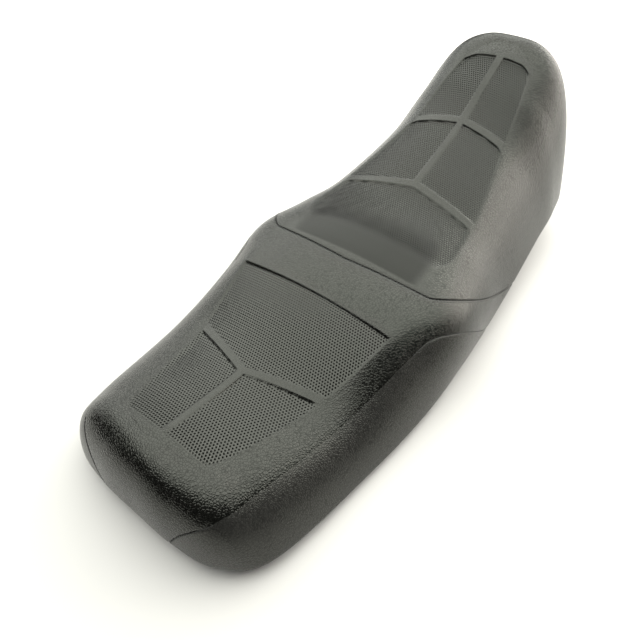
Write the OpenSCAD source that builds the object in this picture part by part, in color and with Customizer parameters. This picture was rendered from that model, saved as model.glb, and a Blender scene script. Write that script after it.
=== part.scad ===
// Motorcycle dual seat: moulded base, foam cushion, sewn vinyl cover and the fixings under it.
// Millimetres. X points forward to the tank end, Y to the rider's left, Z up.

/* [Seat] */
// Overall length
seat_length = 666; // [620:1:720]
// Width across the bottom edge of the rider part
seat_width = 280; // [260:1:310]
// Height of the front roll above the ground that the feet stand on
front_height = 84; // [78:1:92]
// Height of the lowest part of the rider's dish
dish_height = 74; // [68:1:82]
// Height of the step behind the rider
step_height = 103; // [96:1:112]
// Height of the crown at the tail
tail_height = 221; // [200:1:235]
// Lowest point of the bottom edge above the feet
edge_clearance = 8; // [6:0.5:12]
// Rise of the bottom edge towards the tank end
front_lift = 9; // [4:0.5:12]
// Rise of the bottom edge towards the tail end
tail_lift = 43; // [36:1:50]

/* [Cover] */
// Thickness of the vinyl skin
skin_thickness = 1.2; // [1:0.1:1.6]
// Thickness of the lining foam that is bonded under the top panels
lining_thickness = 2.4; // [2.2:0.1:3.5]
// Depth of the pressed fields between the ribs
field_depth = 2; // [1:0.1:2]
// Width of the cover turned in under the base rim
hem_width = 18; // [14:1:20]
// Gap between two panels at a sewn seam
seam_gap = 0.5; // [0.3:0.1:0.8]

/* [Base] */
// Thickness of the rim flange
flange_thickness = 2.5; // [2:0.1:3]
// Width of the rim flange
flange_width = 23; // [21:1:25]
// Wall and plate thickness
wall_thickness = 3; // [2.5:0.1:3.5]
// Height of the plate's underside above the bottom edge
plate_rise = 18; // [16:0.5:20]
// Depth of the stiffening ribs
rib_depth = 8; // [5:0.5:9]
// Thickness of the stiffening ribs
rib_thickness = 2.5; // [2:0.1:3.5]
// Height of the bosses under the plate
boss_height = 10; // [9.5:0.5:11]

/* [Feet] */
// Diameter of a rubber foot at the ground
foot_diameter = 26; // [22:0.5:30]
// Diameter of the foot's spigot
spigot_diameter = 12; // [10:0.5:14]
// Length of the foot's spigot
spigot_length = 7; // [5:0.5:8]
// How far a rear foot stands below the bottom edge
rear_foot_drop = 9; // [6:0.5:12]

/* [Steel] */
// Thickness of the tongue and bracket plate
plate_thickness = 3; // [2.5:0.1:4]
// Width of the front tongue
tongue_width = 60; // [52:1:70]
// Length of each bracket along the seat
bracket_length = 56; // [52:1:64]
// Distance between the two frame bolts
frame_bolt_spacing = 176; // [166:1:184]
// Clearance hole for the frame bolts
frame_bolt_hole = 9; // [8.5:0.1:10]

/* [Fasteners] */
// Nominal thread of the small bolts
bolt_size = 6; // [5:1:6]
// Play of a bolt in its clearance hole
bolt_play = 0.6; // [0.4:0.1:1]
// Outer diameter of a threaded insert
insert_diameter = 9; // [8.5:0.1:10]
// Play of a seated piece in its socket
socket_play = 0.1; // [0.05:0.05:0.2]

/* [Hidden] */
$fn = 48;

// The control rows below are drawn for this length and width, and follow the sizes above
drawn_length = 666;
drawn_width = 280;
along = seat_length / drawn_length;
across = seat_width / drawn_width;
last = 13;

// Bottom edge from the tank end round the left side to the tail: x, half width
edge_rows = [[333, 0], [332, 45], [323, 85], [289, 116], [182, 132], [95, 140], [22, 140],
    [-38, 138], [-104, 134], [-188, 127], [-248, 122], [-301, 108], [-326, 60], [-333, 0]];

// Corner that the side is rounded towards: x, half width, height against the crown's edge
shoulder_rows = [[332, 0, 0], [330, 39, -1], [316, 94, -3], [282, 101, -2], [180, 118, -7], [95, 133, -24],
    [32, 148, -7], [-31, 137, -19], [-90, 114, -22], [-183, 92, -17], [-246, 89, -8], [-296, 82, 30],
    [-319, 58, 32], [-326, 0, 30]];

// Crown: x, half width of the fields, height on the centre line, drop from there to the field's edge
step_roll = 7;
function climb(part) = step_height + (tail_height - step_height) * part;
crown_rows = [[296, 0, front_height, 0], [294, 25, front_height, 2], [284, 46, front_height, 6],
    [252, 58, (front_height + dish_height) / 2, 8], [177, 74, dish_height, 10],
    [95, 90, step_height - step_roll, 8], [36, 92, step_height, 6], [-28, 88, climb(0.06), 9],
    [-84, 81, climb(0.145), 11], [-181, 59, climb(0.46), 10], [-233, 48, climb(0.73), 4],
    [-263, 38, climb(0.9), 4], [-280, 20, climb(0.98), 0.5], [-284, 0, tail_height, 0]];

// Pull of the shoulder corner on the lower and the upper half of a side
lower_pull = 0.62;
upper_pull = 0.72;

// Smooth curve through the rows, carried on past both ends as its own mirror image
function mirrored(row) = [for (i = [0 : len(row) - 1]) i == 1 ? -row[i] : row[i]];
function row_at(rows, i) = i < 0 ? mirrored(rows[-i]) : i > last ? mirrored(rows[2 * last - i]) : rows[i];
function spline(rows, t) =
    let (i = floor(t), u = t - i)
    let (a = row_at(rows, i - 1), b = row_at(rows, i), c = row_at(rows, i + 1), d = row_at(rows, i + 2))
    (2 * b + (c - a) * u + (2 * a - 5 * b + 4 * c - d) * u * u + (3 * b - a - 3 * c + d) * u * u * u) / 2;

// Height of the bottom edge, which the base, the foam and the cover all follow
low_x = 150 * along;
function edge_z(x) =
    let (front = max(0, (x - low_x) / (seat_length / 2 - low_x)))
    let (rear = min(1, max(0, (low_x - x) / (seat_length / 2 + low_x))))
    edge_clearance + front_lift * front * front + tail_lift * rear * rear * (3 - 2 * rear);

// Plan point of the bottom edge, moved inwards by a distance
tiny_step = 0.02;
function edge_plan(t) = let (r = spline(edge_rows, t)) [r[0] * along, r[1] * across];
function inset_plan(t, inset) =
    let (way = edge_plan(t + tiny_step) - edge_plan(t - tiny_step))
    edge_plan(t) + inset * [-way[1], way[0]] / norm(way);
function inset_point(t, inset, lift) = let (p = inset_plan(t, inset)) [p[0], p[1], edge_z(p[0]) + lift];

// Outer face of one half: lid inside the crown's edge, side below it, hem under the rim
function lid(t, v) =
    let (r = spline(crown_rows, t))
    [r[0] * along, r[1] * across * v, r[2] - r[3] * v * v];
function side(t, s) =
    let (b = inset_point(t, 0, 0), f = lid(t, 1), r = spline(shoulder_rows, t))
    let (corner = [r[0] * along, r[1] * across, f[2] + r[2]])
    let (c = b + lower_pull * (corner - b), d = f + upper_pull * (corner - f), w = 1 - s)
    b * w * w * w + 3 * c * s * w * w + 3 * d * s * s * w + f * s * s * s;

// Whole outer face: q is 0 on the centre line, 1 at the crown's edge, 2 at the bottom edge and
// 3 at the hem's end
sliver = 0.0005;
function cover_at(t, q) =
    let (a = abs(q))
    let (p = a <= 1 ? lid(t, a) : a <= 2 ? side(t, 2 - a) : inset_point(t, (a - 2) * hem_width, 0))
    [p[0], q < 0 ? -p[1] : p[1], p[2]];
function outward(t, q) =
    let (along_row = cover_at(t + tiny_step, q) - cover_at(t - tiny_step, q))
    let (across_row = cover_at(t, q - tiny_step) - cover_at(t, q + tiny_step))
    let (n = cross(along_row, across_row))
    norm(n) < sliver ? [0, 0, 1] : n / norm(n);
function mirror_y(p, q) = q < 0 ? [p[0], -p[1], p[2]] : p;
function sunk(t, q, depth) =
    abs(q) > 2 ? cover_at(t, q) + [0, 0, depth]
    : abs(q) == 2 ? mirror_y(inset_point(t, depth, depth), q)
    : cover_at(t, q) - depth * outward(t, q);

// The top panels are lined, the lining thins out down the sides, and the hem is bare skin
lining_end = 1.6;
function cover_thickness(q) =
    let (part = min(1, max(0, (lining_end - abs(q)) / (lining_end - 1))))
    skin_thickness + lining_thickness * part;

// A row runs straight over the lid and sweeps back down the side, most of all at the cross seam
seam_centre = 5.9;
seam_edge = 6;
seam_sweep = 2.1;
sweep_ends = [4, 10];
sweep_start = 1.02;
sweep_bend = 1.3;
function sweep(e) =
    e <= seam_edge ? seam_sweep * pow(max(0, (e - sweep_ends[0]) / (seam_edge - sweep_ends[0])), 2)
    : seam_sweep * pow(max(0, (sweep_ends[1] - e) / (sweep_ends[1] - seam_edge)), 1.5);
function row_t(row, q) =
    let (a = abs(q))
    a <= 1 ? row[1] + (row[0] - row[1]) * (1 - a)
    : row[1] + sweep(row[1]) * pow(min(1, max(0, (a - sweep_start) / (2 - sweep_start))), sweep_bend);

// Side panel: its upper seam leaves the bottom edge at the front corner and comes back to it
// before the step
panel_start = 0.9;
panel_end = 5.61;
panel_full = [[2.38, 0.61], [4.75, 0.735]];
panel_curl = 7;
function panel_top(e) =
    let (front = panel_full[0], rear = panel_full[1])
    e <= panel_start || e >= panel_end ? 0
    : e < front[0] ? front[1] * sin(90 * (e - panel_start) / (front[0] - panel_start))
    : e < rear[0] ? lookup(e, panel_full)
    : rear[1] * (1 - pow((e - rear[0]) / (panel_end - rear[0]), panel_curl));

// Rows of the two top panels: place on the centre line, place at the crown's edge, and what is
// pressed there: 0 nothing, 1 a field on each side of the centre rib, 2 one field right across
wall_step = 0.02;
row_length = 60;
seam_step = seam_gap / 2 / row_length;
front_rows = [[0, 0, 0], [0.45, 0.45, 0], [0.9, 0.9, 0], [0.93, 0.93, 0], [1.15, 1.15, 0], [1.4, 1.4, 0],
    [1.66, 1.66, 0], [1.84, 1.84, 1], [2.26, 2.26, 1], [2.8, 2.8, 1], [3.25, 3.35, 1],
    [3.72 - wall_step, 3.98 - wall_step, 1], [3.72, 3.98, 0]];
middle_rows = [[3.8, 4.08, 0], [3.8 + wall_step, 4.08 + wall_step, 2], [4.3, 4.4, 2], [4.7, 4.72, 2],
    [5 - wall_step, 5 - wall_step, 2], [5, 5, 0], [5.2, 5.2, 0], [5.35, 5.35, 0], [5.46, 5.46, 0],
    [5.54, 5.54, 0], [5.59, 5.59, 0], [panel_end, panel_end, 0], [5.8, 5.8, 0],
    [seam_centre - seam_step, seam_edge - seam_step, 0]];
rider_rows = concat(front_rows, middle_rows);
panel_rows = [for (r = rider_rows) if (r[1] > panel_start && r[1] < panel_end) r];
pillion_rows = [[seam_centre + seam_step, seam_edge + seam_step, 0], [6.5, 6.5, 0], [6.75, 6.75, 2],
    [7.15, 7.12, 2], [7.6, 7.5, 2], [8.03 - wall_step, 7.83 - wall_step, 2], [8.03, 7.83, 0], [8.12, 7.95, 0],
    [8.12 + wall_step, 7.95 + wall_step, 1], [9.04 - wall_step, 8.95 - wall_step, 1],
    [9.04, 8.95, 0], [9.13, 9.05, 0], [9.13 + wall_step, 9.05 + wall_step, 1], [10, 10, 1],
    [10.5, 10.5, 1], [11 - wall_step, 11 - wall_step, 1], [11, 11, 0], [11.4, 11.4, 0], [11.8, 11.8, 0],
    [12.3, 12.3, 0], [13, 13, 0]];

// Half width of the centre rib at places along the seat
rib_halves = [[1.66, 1.6], [3.72, 3.7], [8.14, 3.4], [11, 4.4]];
rib_most = 0.3;

// Edge of the rib as a part of the crown's half width, kept small where the crown closes
function rib_line(e) = min(rib_most, lookup(e, rib_halves) / max(sliver, spline(crown_rows, e)[1] * across));

// Lines along the seat: centre rib, field and crown's edge, the shoulder, then the side below it
field_wall = 0.025;
function field_lines(e) = let (rib = rib_line(e)) [rib, rib + field_wall, 0.5, 1 - field_wall, 1];
shoulder_steps = 5;
panel_steps = 4;
function steps_from(a, b, count) = [for (j = [1 : count]) a + (b - a) * j / count];
function both_sides(lines) = concat([for (j = [len(lines) - 1 : -1 : 0]) -lines[j]], lines);
function pressed(row, q) =
    let (a = abs(q), zone = row[2])
    (zone == 1 && a > rib_line(row[1]) && a < 1) || (zone == 2 && a < 1) ? field_depth : 0;

// Grid of points of a top panel, on its outer or its inner face
pillion_shoulder = 1.5;
function rider_lines(e) =
    let (low = 2 - panel_top(e))
    both_sides(concat(field_lines(e), steps_from(1, low, shoulder_steps), [low < 2 ? low : 3]));
function pillion_lines(e) =
    both_sides(concat(field_lines(e), steps_from(1, pillion_shoulder, shoulder_steps),
        steps_from(pillion_shoulder, 2, panel_steps), [3]));
function snap(p) = [for (c = p) round(c * 1000) / 1000 + 0];
function outer_point(row, q) = snap(sunk(row_t(row, q), q, pressed(row, q)));
function inner_point(row, q) = snap(sunk(row_t(row, q), q, cover_thickness(q)));

// Closed solid between two grids of points, each square cut along its shorter diagonal; a zipped end
// has no wall, because both halves meet there
function flatten(grid) = [for (row = grid) for (p = row) p];
function quad(points, a, b, c, d) =
    norm(points[a] - points[c]) <= norm(points[b] - points[d]) ? [[a, b, c], [a, c, d]]
    : [[a, b, d], [b, c, d]];
function real_face(points, f) =
    norm(cross(points[f[1]] - points[f[0]], points[f[2]] - points[f[0]])) > sliver;
module grid_solid(outer, inner, zip_start = false, zip_end = false) {
    rows = len(outer);
    columns = len(outer[0]);
    under = rows * columns;
    points = concat(flatten(outer), flatten(inner));
    faces = concat(
        [for (i = [0 : rows - 2], j = [0 : columns - 2]) let (a = i * columns + j, b = a + columns)
            each quad(points, a, b, b + 1, a + 1)],
        [for (i = [0 : rows - 2], j = [0 : columns - 2]) let (a = under + i * columns + j, b = a + columns)
            each quad(points, a, a + 1, b + 1, b)],
        [for (i = [0 : rows - 2]) let (a = i * columns, b = a + columns)
            each quad(points, a, a + under, b + under, b)],
        [for (i = [0 : rows - 2]) let (a = (i + 1) * columns - 1, b = a + columns)
            each quad(points, a, b, b + under, a + under)],
        [if (!zip_start) for (j = [0 : columns - 2]) each quad(points, j, j + 1, j + 1 + under, j + under)],
        [if (!zip_end) for (j = [0 : columns - 2]) let (a = under - columns + j)
            each quad(points, a, a + under, a + 1 + under, a + 1)]);
    polyhedron(points, [for (f = faces) if (real_face(points, f)) f], convexity = 6);
}

// Levels of the base above the bottom edge
hem_play = 0.5;
flange_low = skin_thickness + hem_play;
flange_high = flange_low + flange_thickness;
plate_high = plate_rise + wall_thickness;
flange_inset = 3;
wall_inset = flange_inset + flange_width;
plate_inset = wall_inset + wall_thickness;
boss_level = plate_rise - boss_height;
foam_play = 0.8;
base_steps = 32;
profile_steps = 24;
beyond = 20;
tall = 120;
overcut = 1;

// Places of the fixings
front_feet = [230, 72];
mid_feet = [30, 85];
rear_feet = [-262, 66];
tongue_bolt_x = 238;
tongue_bolt_y = 20;
tongue_tip = 328;
tongue_drop = 7;
bracket_x = -150;
bracket_bolts_apart = 30;
bracket_bolt_y = 54;
web_y = 70;
foot_width = 36;
rib_places = [205, 130, 62, -15, -88, -205, -284];
rib_lines = [-27, 0, 27];
drain_places = [[165, 45], [95, 45], [-50, 45], [-232, 27]];
drain_diameter = 8;
insert_length = 8;
washer_thickness = 1.2;
washer_diameter = bolt_size * 2;
head_width = bolt_size * 10 / 6;
head_height = 4;
boss_wall = 3.5;
foot_boss_wall = 5;
socket_depth_play = 0.5;
shank_short = 1;

function tongue_level() = edge_z(tongue_bolt_x * along) + boss_level;
function bracket_level() = edge_z(bracket_x * along) + boss_level;

// Solid that follows the bottom edge between two levels above it
module edge_band(low, high) {
    reach = seat_length / 2 + beyond / 2;
    xs = [for (i = [0 : profile_steps]) reach - 2 * reach * i / profile_steps];
    rotate([90, 0, 0])
        linear_extrude(height = seat_width + 2 * beyond, center = true)
            polygon(concat([for (x = xs) [x, edge_z(x) + low]],
                [for (i = [profile_steps : -1 : 0]) [xs[i], edge_z(xs[i]) + high]]));
}

// Upright block with the seat's plan outline, moved inwards
module plan_block(inset) {
    half = [for (i = [0 : base_steps]) inset_plan(last * i / base_steps, inset)];
    linear_extrude(height = tall)
        polygon(concat(half, [for (i = [base_steps - 1 : -1 : 1]) [half[i][0], -half[i][1]]]));
}

module plan_ring(outer_inset, inner_inset) {
    difference() {
        plan_block(outer_inset);
        plan_block(inner_inset);
    }
}

// A boss from a level up into the plate
module boss(place, level, diameter) {
    translate([place[0], place[1], level])
        cylinder(d = diameter, h = edge_z(place[0]) + plate_rise + wall_thickness / 2 - level);
}

// A blind hole up into a boss
module socket(place, level, diameter, depth) {
    translate([place[0], place[1], level - overcut])
        cylinder(d = diameter, h = overcut + depth + socket_depth_play);
}

function foot_places() = [for (p = [front_feet, mid_feet, rear_feet]) for (s = [1, -1])
    [p[0] * along, s * p[1] * across]];
function tongue_bolt_places() = [for (s = [1, -1]) [tongue_bolt_x * along, s * tongue_bolt_y]];
function bracket_bolt_places() = [for (s = [1, -1]) for (d = [1, -1])
    [bracket_x * along + d * bracket_bolts_apart / 2, s * bracket_bolt_y * across]];

module base_ribs() {
    intersection() {
        edge_band(plate_rise - rib_depth, plate_rise + wall_thickness / 2);
        plan_block(plate_inset - wall_thickness / 2);
        union() {
            for (x = rib_places)
                translate([x * along - rib_thickness / 2, -seat_width / 2, 0])
                    cube([rib_thickness, seat_width, tall]);
            for (y = rib_lines)
                translate([-seat_length / 2, y * across - rib_thickness / 2, 0])
                    cube([seat_length, rib_thickness, tall]);
        }
    }
}

module seat_base() {
    color("#1b1b1c")
    difference() {
        union() {
            intersection() {
                edge_band(flange_low, flange_high);
                plan_ring(flange_inset, plate_inset);
            }
            intersection() {
                edge_band(flange_low, plate_high);
                plan_ring(wall_inset, plate_inset);
            }
            intersection() {
                edge_band(plate_rise, plate_high);
                plan_block(plate_inset - wall_thickness / 2);
            }
            base_ribs();
            for (p = foot_places())
                boss(p, edge_z(p[0]) + boss_level, spigot_diameter + 2 * foot_boss_wall);
            for (p = tongue_bolt_places())
                boss(p, tongue_level(), insert_diameter + 2 * boss_wall);
            for (p = bracket_bolt_places())
                boss(p, bracket_level(), insert_diameter + 2 * boss_wall);
        }
        for (p = foot_places())
            socket(p, edge_z(p[0]) + boss_level, spigot_diameter, spigot_length);
        for (p = tongue_bolt_places())
            socket(p, tongue_level(), insert_diameter, insert_length);
        for (p = bracket_bolt_places())
            socket(p, bracket_level(), insert_diameter, insert_length);
        for (p = drain_places)
            for (s = [1, -1])
                translate([p[0] * along, s * p[1] * across, 0])
                    cylinder(d = drain_diameter, h = tall);
    }
}

// The foam fills the cover and lies on the flange, the wall and the plate
foam_low = 1.86;
foam_crest = 0.07;
foam_foot_inset = 4.8;
foam_row_gap = 2.1 * wall_step;
cover_rows = concat(rider_rows, pillion_rows);
foam_rows = [for (i = [0 : len(cover_rows) - 1])
    if (i == 0 || cover_rows[i][1] - cover_rows[i - 1][1] > foam_row_gap) cover_rows[i]];
function foam_lines(e) =
    let (shoulder = e > seam_edge ? pillion_shoulder : min(foam_low, 2 - panel_top(e)))
    both_sides(concat([foam_crest, 0.5, 1], steps_from(1, shoulder, shoulder_steps),
        [for (q = steps_from(shoulder, 2, panel_steps)) min(foam_low, q)]));
function foam_under(row, q, step) =
    let (inset = step == 0 ? foam_foot_inset : wall_inset - foam_play)
    let (level = step <= 1 ? flange_high : plate_high)
    mirror_y(inset_point(row_t(row, 2), inset, level + foam_play), q);

module foam_cushion() {
    outer = [for (r = foam_rows) [for (q = foam_lines(r[1]))
        snap(sunk(row_t(r, q), q, cover_thickness(q) + foam_play))]];
    inner = [for (r = foam_rows) let (lines = foam_lines(r[1]), end = len(lines) - 1)
        [for (j = [0 : end]) snap(foam_under(r, lines[j], min(j, end - j)))]];
    color("#d8c98a")
    grid_solid(outer, inner, true, true);
}

module rider_cover() {
    outer = [for (r = rider_rows) [for (q = rider_lines(r[1])) outer_point(r, q)]];
    inner = [for (r = rider_rows) [for (q = rider_lines(r[1])) inner_point(r, q)]];
    color("#2a2a2b")
    grid_solid(outer, inner, true, false);
}

module pillion_cover() {
    outer = [for (r = pillion_rows) [for (q = pillion_lines(r[1])) outer_point(r, q)]];
    inner = [for (r = pillion_rows) [for (q = pillion_lines(r[1])) inner_point(r, q)]];
    color("#2e2e2f")
    grid_solid(outer, inner, false, true);
}

// Side panel of the rider part, from its upper seam down and round the rim
side_height = 45;
module side_panel() {
    gap = seam_gap / 2 / side_height;
    lines = [for (r = panel_rows) let (high = min(2 - gap, 2 - panel_top(r[1]) + gap))
        concat([high], steps_from(high, 2, panel_steps), [3])];
    outer = [for (i = [0 : len(panel_rows) - 1]) [for (q = lines[i]) outer_point(panel_rows[i], q)]];
    inner = [for (i = [0 : len(panel_rows) - 1]) [for (q = lines[i]) inner_point(panel_rows[i], q)]];
    grid_solid(outer, inner);
}

module side_cover_left() {
    color("#343435")
    side_panel();
}

module side_cover_right() {
    color("#343435")
    mirror([0, 1, 0])
        side_panel();
}

// Wire staples that hold the hem to the flange
staple_width = 9;
staple_wire = 0.7;
staple_flat = 1.2;
staple_leg = 3;
staple_inset = 13;
staples_per_side = 20;
module staple() {
    half = staple_width / 2;
    inner = half - staple_wire;
    translate([0, staple_flat / 2, 0])
        rotate([90, 0, 0])
            linear_extrude(height = staple_flat)
                polygon([[-half, -staple_wire], [half, -staple_wire], [half, staple_leg],
                    [inner, staple_leg], [inner, 0], [-inner, 0], [-inner, staple_leg],
                    [-half, staple_leg]]);
}

module cover_staples() {
    color("#b9bcc0")
    for (i = [0 : staples_per_side - 1], s = [1, -1]) {
        t = last * (i + 0.5) / staples_per_side;
        p = inset_point(t, staple_inset, 0);
        way = inset_point(t + tiny_step, staple_inset, 0) - inset_point(t - tiny_step, staple_inset, 0);
        translate([p[0], s * p[1], p[2]])
            rotate([0, -atan2(way[2], norm([way[0], way[1]])), atan2(s * way[1], way[0])])
                staple();
    }
}

// Pressed tongue that hooks under the tank end of the frame
tongue_back = 16;
tongue_flat = 26;
tongue_bend = 12;
bend_shift = 1.2;
nose_part = 0.66;
nose_back = 20;
module front_tongue() {
    top = tongue_level();
    low = top - plate_thickness;
    x = tongue_bolt_x * along;
    back = x - tongue_back;
    bend = x + tongue_flat;
    tip = tongue_tip * along;
    color("#55585c")
    difference() {
        intersection() {
            rotate([90, 0, 0])
                linear_extrude(height = tongue_width, center = true)
                    polygon([[back, low], [bend, low], [bend + tongue_bend, low - tongue_drop],
                        [tip, low - tongue_drop], [tip, top - tongue_drop],
                        [bend + tongue_bend + bend_shift, top - tongue_drop], [bend + bend_shift, top],
                        [back, top]]);
            union() {
                translate([back, -tongue_width / 2, 0])
                    cube([tip - nose_back - back, tongue_width, tall]);
                translate([tip - nose_back, 0, 0])
                    cylinder(d = tongue_width * nose_part, h = tall);
            }
        }
        for (p = tongue_bolt_places())
            bolt_hole(p, low);
    }
}

// Clearance hole for a small bolt through a steel plate
module bolt_hole(place, low) {
    translate([place[0], place[1], low - overcut])
        cylinder(d = bolt_size + bolt_play, h = plate_thickness + 2 * overcut);
}

// Hex bolt with its head down, its shank reaching into the insert
module bolt_up(place, seat_level) {
    translate([place[0], place[1], seat_level - washer_thickness]) {
        translate([0, 0, -head_height])
            cylinder(d = head_width * 2 / sqrt(3), h = head_height, $fn = 6);
        cylinder(d = bolt_size, h = washer_thickness + plate_thickness + insert_length - shank_short);
    }
}

module washer_up(place, seat_level) {
    translate([place[0], place[1], seat_level - washer_thickness])
        difference() {
            cylinder(d = washer_diameter, h = washer_thickness);
            translate([0, 0, -overcut])
                cylinder(d = bolt_size + bolt_play, h = washer_thickness + 2 * overcut);
        }
}

module insert_up(place, level) {
    translate([place[0], place[1], level])
        difference() {
            cylinder(d = insert_diameter - socket_play, h = insert_length);
            translate([0, 0, -overcut])
                cylinder(d = bolt_size + socket_play, h = insert_length + 2 * overcut);
        }
}

module tongue_bolts() {
    color("#9a9da1")
    for (p = tongue_bolt_places())
        bolt_up(p, tongue_level() - plate_thickness);
}

module tongue_washers() {
    color("#a6a9ad")
    for (p = tongue_bolt_places())
        washer_up(p, tongue_level() - plate_thickness);
}

module tongue_inserts() {
    color("#b8964a")
    for (p = tongue_bolt_places())
        insert_up(p, tongue_level());
}

module bracket_bolts() {
    color("#9a9da1")
    for (p = bracket_bolt_places())
        bolt_up(p, bracket_level() - plate_thickness);
}

module bracket_washers() {
    color("#a6a9ad")
    for (p = bracket_bolt_places())
        washer_up(p, bracket_level() - plate_thickness);
}

module bracket_inserts() {
    color("#b8964a")
    for (p = bracket_bolt_places())
        insert_up(p, bracket_level());
}

// Bracket with a top flange under the base and a foot that is bolted to the frame
bracket_edge = 14;
web_hole = 18;
module rear_bracket() {
    top = bracket_level();
    low = top - plate_thickness;
    inner_y = bracket_bolt_y * across - bracket_edge;
    web = web_y * across;
    foot_y = frame_bolt_spacing / 2;
    x = bracket_x * along;
    difference() {
        translate([x, 0, 0])
            rotate([90, 0, 90])
                linear_extrude(height = bracket_length, center = true)
                    polygon([[inner_y, low], [web, low], [web, 0], [foot_y + foot_width / 2, 0],
                        [foot_y + foot_width / 2, plate_thickness],
                        [web + plate_thickness, plate_thickness], [web + plate_thickness, top],
                        [inner_y, top]]);
        for (p = bracket_bolt_places())
            bolt_hole(p, low);
        translate([x, foot_y, -overcut])
            cylinder(d = frame_bolt_hole, h = plate_thickness + 2 * overcut);
        translate([x, web - overcut, top / 2])
            rotate([-90, 0, 0])
                cylinder(d = web_hole, h = plate_thickness + 2 * overcut);
    }
}

module rear_bracket_left() {
    color("#4c4f53")
    rear_bracket();
}

module rear_bracket_right() {
    color("#4c4f53")
    mirror([0, 1, 0])
        rear_bracket();
}

// Rubber foot: a tapered body with a rounded edge below and a spigot above
foot_taper = 3;
foot_edge = 2;
foot_bevel = 0.3;
spigot_lead = 1;
module bumper(place, low, side_sign) {
    x = place[0] * along;
    face = edge_z(x) + boss_level - low;
    ground = foot_diameter / 2;
    spigot = (spigot_diameter - socket_play) / 2;
    translate([x, side_sign * place[1] * across, low])
        rotate_extrude()
            polygon([[0, 0], [ground - foot_edge, 0],
                [ground - foot_edge * foot_bevel, foot_edge * foot_bevel], [ground, foot_edge],
                [ground - foot_taper, face], [spigot, face], [spigot, face + spigot_length - spigot_lead],
                [spigot - spigot_lead, face + spigot_length], [0, face + spigot_length]]);
}

module bumper_front_left() {
    color("#202020")
    bumper(front_feet, 0, 1);
}

module bumper_front_right() {
    color("#202020")
    bumper(front_feet, 0, -1);
}

module bumper_mid_left() {
    color("#202020")
    bumper(mid_feet, 0, 1);
}

module bumper_mid_right() {
    color("#202020")
    bumper(mid_feet, 0, -1);
}

module bumper_rear_left() {
    color("#202020")
    bumper(rear_feet, edge_z(rear_feet[0] * along) - rear_foot_drop, 1);
}

module bumper_rear_right() {
    color("#202020")
    bumper(rear_feet, edge_z(rear_feet[0] * along) - rear_foot_drop, -1);
}

seat_base();
foam_cushion();
rider_cover();
pillion_cover();
side_cover_left();
side_cover_right();
cover_staples();
front_tongue();
tongue_bolts();
tongue_washers();
tongue_inserts();
rear_bracket_left();
rear_bracket_right();
bracket_bolts();
bracket_washers();
bracket_inserts();
bumper_front_left();
bumper_front_right();
bumper_mid_left();
bumper_mid_right();
bumper_rear_left();
bumper_rear_right();
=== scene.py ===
# %% [markdown]
# # A stepped motorcycle seat
# The seat is a moulded plastic base, a block of foam and a sewn vinyl cover, with steel and
# rubber fixings underneath. The base and the fixings come from the CAD frame and keep its shapes.
# The cover is what one sees, so it is built again here with its pressed fields, seams and grain.

# %% Setup
import bmesh
import bpy
import numpy as np
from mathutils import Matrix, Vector


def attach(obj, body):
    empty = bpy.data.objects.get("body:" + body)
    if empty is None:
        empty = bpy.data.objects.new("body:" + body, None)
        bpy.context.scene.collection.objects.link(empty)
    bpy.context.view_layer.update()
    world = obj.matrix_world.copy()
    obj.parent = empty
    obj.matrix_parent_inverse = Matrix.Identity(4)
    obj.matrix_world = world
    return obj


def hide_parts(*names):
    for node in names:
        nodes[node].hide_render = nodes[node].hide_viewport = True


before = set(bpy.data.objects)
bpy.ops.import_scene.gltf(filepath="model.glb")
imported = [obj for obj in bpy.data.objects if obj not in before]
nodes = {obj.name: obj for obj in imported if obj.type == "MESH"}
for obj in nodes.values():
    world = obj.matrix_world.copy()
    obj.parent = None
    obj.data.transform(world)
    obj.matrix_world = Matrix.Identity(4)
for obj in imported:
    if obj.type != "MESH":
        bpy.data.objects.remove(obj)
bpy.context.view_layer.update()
scene = bpy.context.scene
MM = 0.001


def add_object(name, data):
    """A new object of the scene."""
    made = bpy.data.objects.new(name, data)
    scene.collection.objects.link(made)
    return made


# %% [markdown]
# ## The camera
# The view looks down on the tank end from the rider's left. Lens, place and direction were solved
# from the seat's own symmetry, so the pieces need no fitting to the picture afterwards.

# %% Camera
CAMERA_PLACE = Vector((0.3941, 0.2419, 0.4518))
CAMERA_AIM = Vector((-0.549, -0.427, -0.718))
LENS_MM, SENSOR_MM = 30.375, 36.0

camera_data = bpy.data.cameras.new("seat_camera")
camera_data.lens = LENS_MM
camera_data.sensor_width = SENSOR_MM
camera_data.clip_start = 0.01
camera = add_object("seat_camera", camera_data)
camera.location = CAMERA_PLACE
camera.rotation_euler = CAMERA_AIM.to_track_quat("-Z", "Y").to_euler()
scene.camera = camera
scene.view_settings.view_transform = "Standard"
print("camera at", tuple(round(c, 3) for c in camera.location))

# %% [markdown]
# ## Node helpers
# A material is a small graph. These helpers add a node, join two sockets and open a group with
# named sockets, so that the finishes below read as a list of what each one is made of.

# %% Node helpers
def add_node(tree, kind, **settings):
    """One node, with its properties set by name."""
    made = tree.nodes.new(kind)
    for name, value in settings.items():
        setattr(made, name, value)
    return made


def give(tree, socket, value):
    """Feeds a socket from another socket, a number or a colour."""
    if isinstance(value, bpy.types.NodeSocket):
        tree.links.new(value, socket)
    elif isinstance(value, (int, float)):
        socket.default_value = value
    else:
        socket.default_value = (*value, 1.0)


def feed(tree, made, **values):
    """Feeds several inputs of a node by name, with _ for a space."""
    for name, value in values.items():
        give(tree, made.inputs[name.replace("_", " ")], value)


def math_node(tree, operation, first, second=0.0):
    """One operation on two values."""
    made = add_node(tree, "ShaderNodeMath", operation=operation)
    give(tree, made.inputs[0], first)
    give(tree, made.inputs[1], second)
    return made.outputs[0]


def times(tree, first, second):
    return math_node(tree, "MULTIPLY", first, second)


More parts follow.
